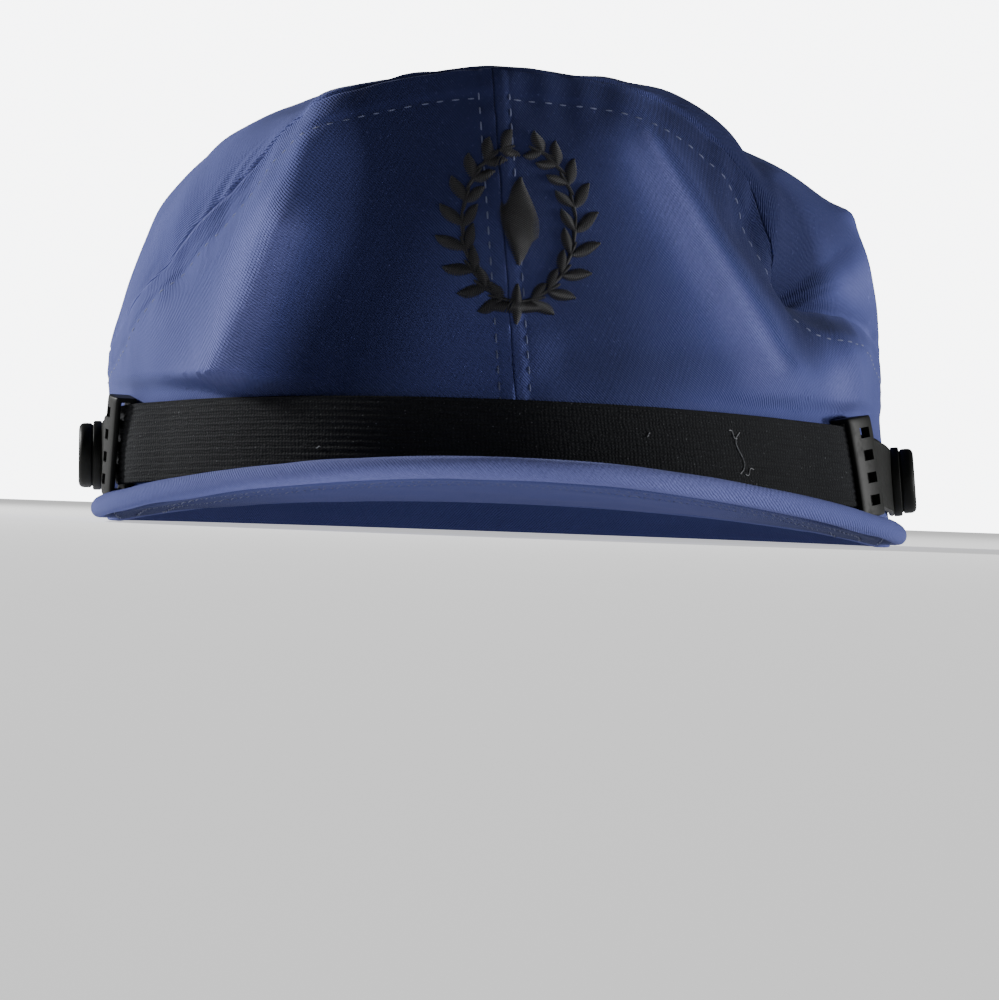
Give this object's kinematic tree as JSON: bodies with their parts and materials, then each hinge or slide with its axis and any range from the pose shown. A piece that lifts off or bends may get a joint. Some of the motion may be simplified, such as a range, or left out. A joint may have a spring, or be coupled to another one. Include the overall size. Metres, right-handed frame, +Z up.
{
  "type": "military peaked cap",
  "caption": "Soft blue field cap with a stiff peak, a webbing chin strap in plastic keepers, side buttons and an open head hollow.",
  "frame": {"origin": "centre of the head opening, on the surface that the rim rests on", "axes": "+Z up through the crown, the front and the peak face -Y, +X is the wearer's left"},
  "size_m": [0.1822, 0.2653, 0.0946],
  "materials": {
    "blue_twill": "fine cotton twill",
    "black_webbing": "fine ribbed webbing",
    "black_plastic": "satin moulded plastic"
  },
  "bodies": {
    "root": {"wall_left": "blue_twill", "wall_right": "blue_twill", "top_panel": "blue_twill", "peak": "blue_twill", "chin_strap": "black_webbing", "strap_keeper_left": "black_plastic", "strap_keeper_right": "black_plastic", "strap_tab_left": "black_plastic", "strap_tab_right": "black_plastic", "button_left": "black_plastic", "button_right": "black_plastic"}
  },
  "joints": []
}
